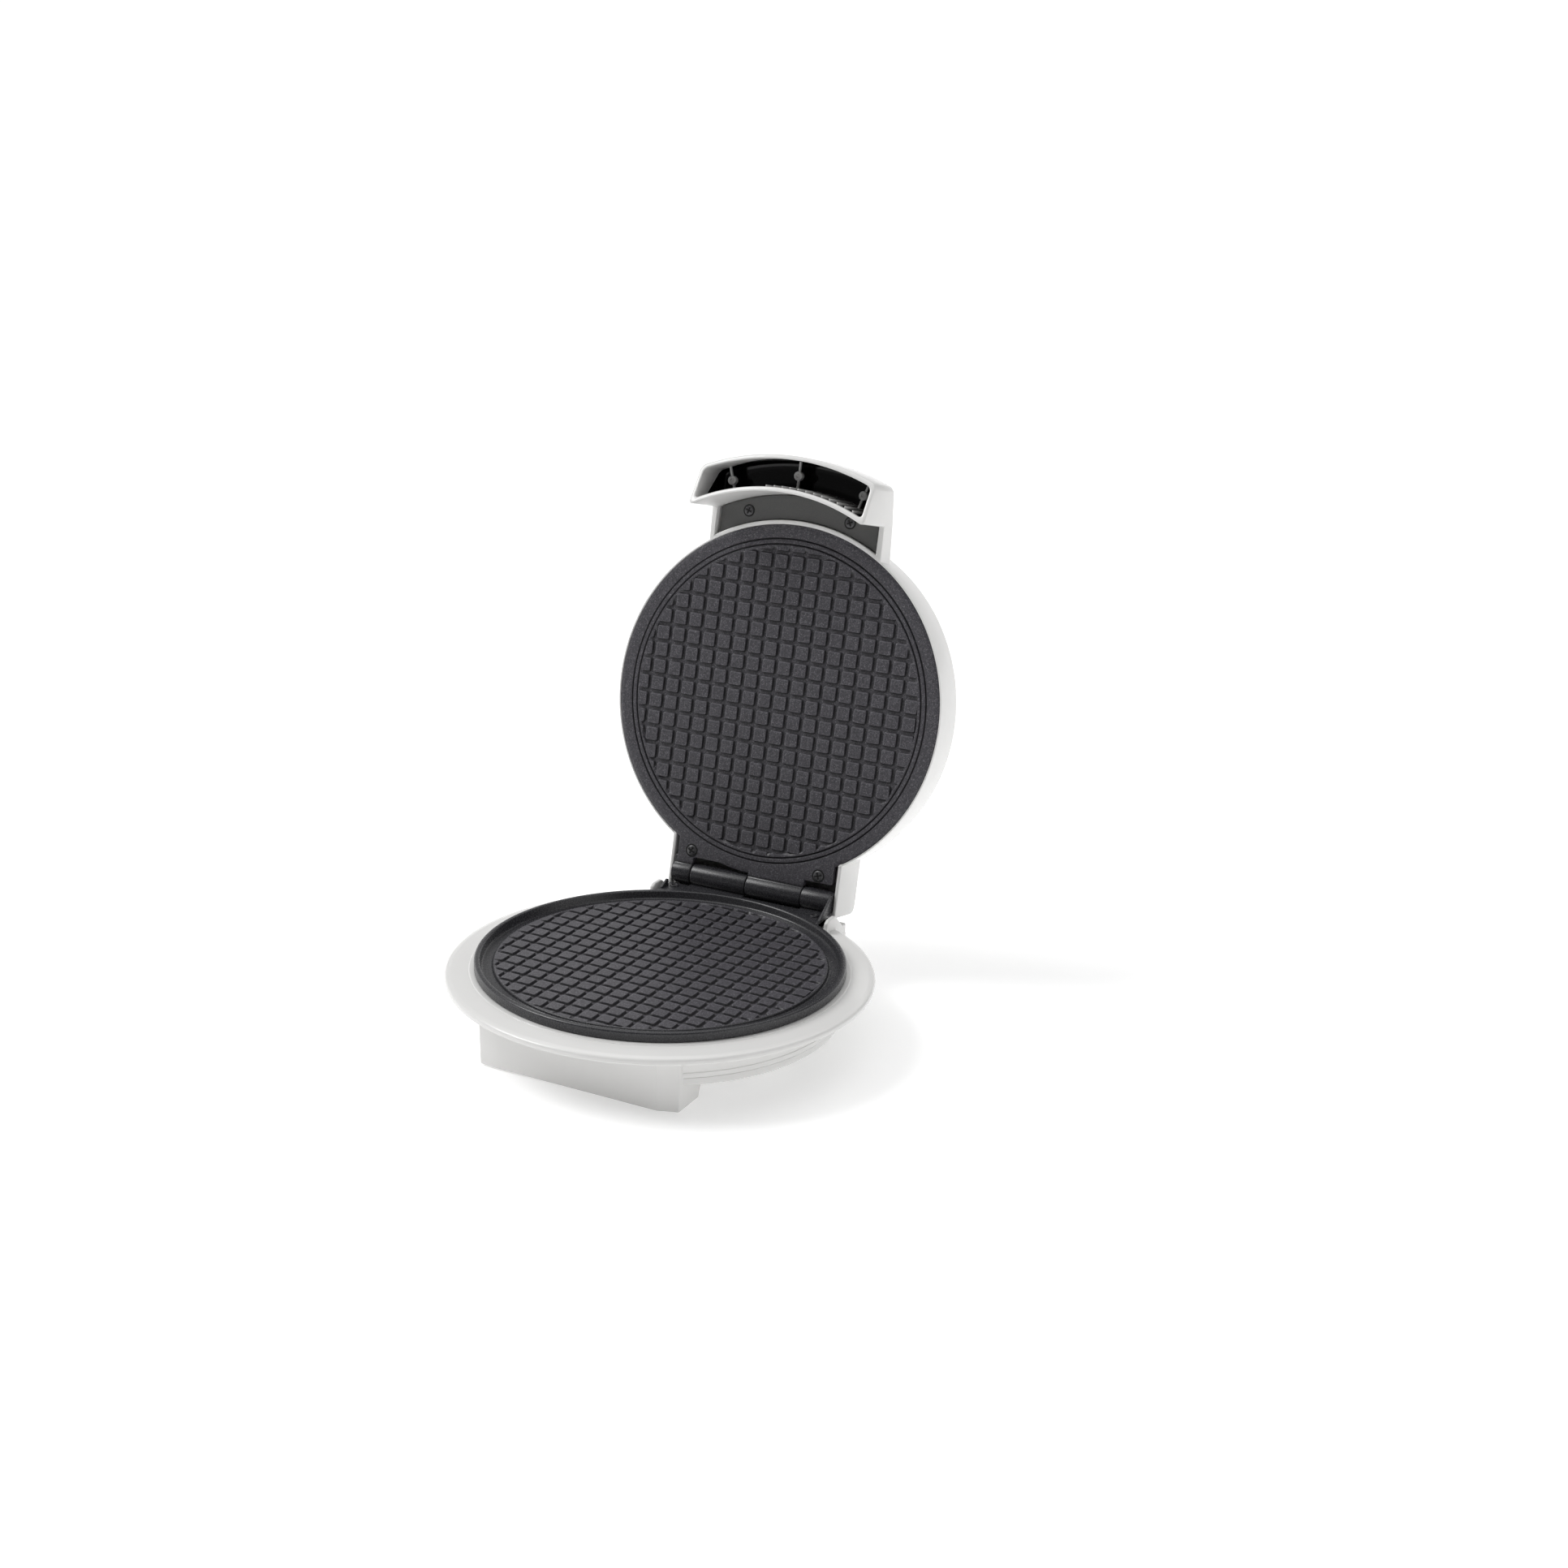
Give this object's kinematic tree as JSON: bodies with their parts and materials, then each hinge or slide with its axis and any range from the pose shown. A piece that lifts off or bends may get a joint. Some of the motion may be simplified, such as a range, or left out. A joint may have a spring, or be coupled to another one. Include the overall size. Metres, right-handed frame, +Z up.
{
  "type": "waffle cone maker",
  "caption": "Round tabletop waffle cone maker: a heated lower plate in a flanged base and a heated lid hinged at the rear, with a hollow hood handle at the front.",
  "frame": {"origin": "centre of the overall box, at the surface it stands on, with the lid open as in the picture", "axes": "+X to the right seen from the handle side, +Y towards the hinge at the rear, +Z up"},
  "size_m": [0.23, 0.2884, 0.2947],
  "materials": {
    "casing": "glossy warm white moulded plastic",
    "insert": "matt dark grey moulded plastic",
    "non_stick": "cast, with a dark non-stick coating",
    "pin_steel": "drawn rod",
    "element": "heat-darkened tube",
    "shield": "pressed sheet",
    "ceramic": "unglazed",
    "fuse": "drawn can",
    "rubber": "matt",
    "screw_steel": "zinc plated",
    "dark_screw": "blackened",
    "lamp_red": "translucent",
    "lamp_green": "translucent"
  },
  "bodies": {
    "base": {"lower_housing": "casing", "bottom_cover": "casing", "lower_plate": "non_stick", "hinge_pin": "pin_steel", "lower_heating_element": "element", "lower_heat_shield": "shield", "lower_thermostat": "ceramic", "terminal_block": "ceramic", "cord_inlet": "rubber", "foot_pad_front_left": "rubber", "foot_pad_front_right": "rubber", "foot_pad_rear_left": "rubber", "foot_pad_rear_right": "rubber", "cover_screw_1": "screw_steel", "cover_screw_2": "screw_steel", "cover_screw_3": "screw_steel", "cover_screw_4": "screw_steel"},
    "lid": {"upper_housing": "casing", "upper_plate": "non_stick", "handle_insert": "insert", "upper_heating_element": "element", "upper_heat_shield": "shield", "upper_thermostat": "ceramic", "thermal_fuse": "fuse", "lug_screw_left": "dark_screw", "lug_screw_right": "dark_screw", "insert_screw_left": "dark_screw", "insert_screw_right": "dark_screw", "power_lamp": "lamp_red", "ready_lamp": "lamp_green"}
  },
  "joints": [
    {"name": "lid_hinge", "type": "hinge", "parent": "base", "child": "lid", "pos_m": [0, 0.07916, 0.04775], "axis": [1, 0, 0], "range_deg": [0, 101.6]}
  ]
}
